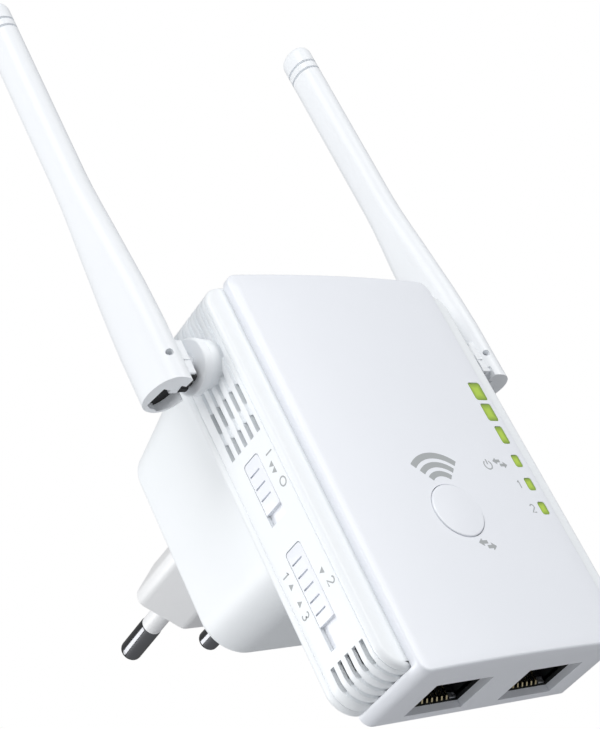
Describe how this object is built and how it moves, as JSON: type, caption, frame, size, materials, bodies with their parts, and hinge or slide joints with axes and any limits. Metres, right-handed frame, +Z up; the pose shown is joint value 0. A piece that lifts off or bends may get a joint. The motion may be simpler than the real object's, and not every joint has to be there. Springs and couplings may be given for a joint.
{
  "type": "plug-in wireless range extender",
  "caption": "Wall-plug wireless range extender: bowed white cover, ribbed vented frame, drafted power box with round-pin mains plug, network sockets, side slide switches and folding aerials.",
  "frame": {"origin": "centre of the plug face that meets the wall socket, midway between the two mains pins", "axes": "+Y along the pins towards the wall, +Z up along the upright aerials, +X to the right when facing the front cover"},
  "size_m": [0.0748, 0.0776, 0.14],
  "materials": {
    "cover_white": "satin",
    "frame_white": "satin",
    "plug_white": "satin",
    "pin_chrome": "polished",
    "board_green": "solder mask",
    "jack_black": "matte",
    "contact_gold": "plated",
    "steel": "tinned",
    "lens_green": "translucent",
    "chip_white": "matte",
    "chip_black": "matte",
    "pad_grey": "matte",
    "ferrite_black": "matte",
    "tape_yellow": "tape",
    "capacitor_blue": "sleeve",
    "fuse_brown": "satin",
    "aerial_white": "satin",
    "cable_black": "matte"
  },
  "bodies": {
    "housing": {"front_cover": "cover_white", "mid_frame": "frame_white", "rear_housing": "frame_white", "plug_block": "plug_white", "pin_left": "pin_chrome", "pin_right": "pin_chrome", "sleeve_left": "plug_white", "sleeve_right": "plug_white", "main_board": "board_green", "power_board": "board_green", "jack_left": "jack_black", "jack_right": "jack_black", "jack_contacts_left": "contact_gold", "jack_contacts_right": "contact_gold", "dome_switch": "steel", "light_guides": "lens_green", "lamp_chips": "chip_white", "power_switch_body": "steel", "mode_switch_body": "steel", "rf_shield": "steel", "processor": "chip_black", "heat_pad": "pad_grey", "transformer_core": "ferrite_black", "transformer_winding": "tape_yellow", "bulk_capacitor": "capacitor_blue", "output_capacitor": "capacitor_blue", "rectifier": "chip_black", "fuse": "fuse_brown", "board_header": "chip_black", "coax_left": "cable_black", "coax_right": "cable_black", "board_screws": "steel"},
    "left_aerial": {"aerial_left": "aerial_white", "radiator_left": "contact_gold", "pivot_clip_left": "steel"},
    "right_aerial": {"aerial_right": "aerial_white", "radiator_right": "contact_gold", "pivot_clip_right": "steel"},
    "pair_button": {"pair_button": "cover_white"},
    "power_slider": {"power_slider": "cover_white"},
    "mode_slider": {"mode_slider": "cover_white"}
  },
  "joints": [
    {"name": "left_aerial_pivot", "type": "hinge", "parent": "housing", "child": "left_aerial", "pos_m": [-0.029, -0.0496, 0.0125], "axis": [1, 0, 0], "range_deg": [-30, 180]},
    {"name": "right_aerial_pivot", "type": "hinge", "parent": "housing", "child": "right_aerial", "pos_m": [0.029, -0.0496, 0.0125], "axis": [1, 0, 0], "range_deg": [-30, 180]},
    {"name": "pair_button_press", "type": "slide", "parent": "housing", "child": "pair_button", "axis": [0, 1, 0], "range_m": [0, 0.0003], "stiffness_N_per_m": 3000, "springref_m": -0.0001},
    {"name": "power_switch_slide", "type": "slide", "parent": "housing", "child": "power_slider", "axis": [0, 0, -1], "range_m": [0, 0.0019]},
    {"name": "mode_switch_slide", "type": "slide", "parent": "housing", "child": "mode_slider", "axis": [0, 0, -1], "range_m": [0, 0.0038]}
  ]
}
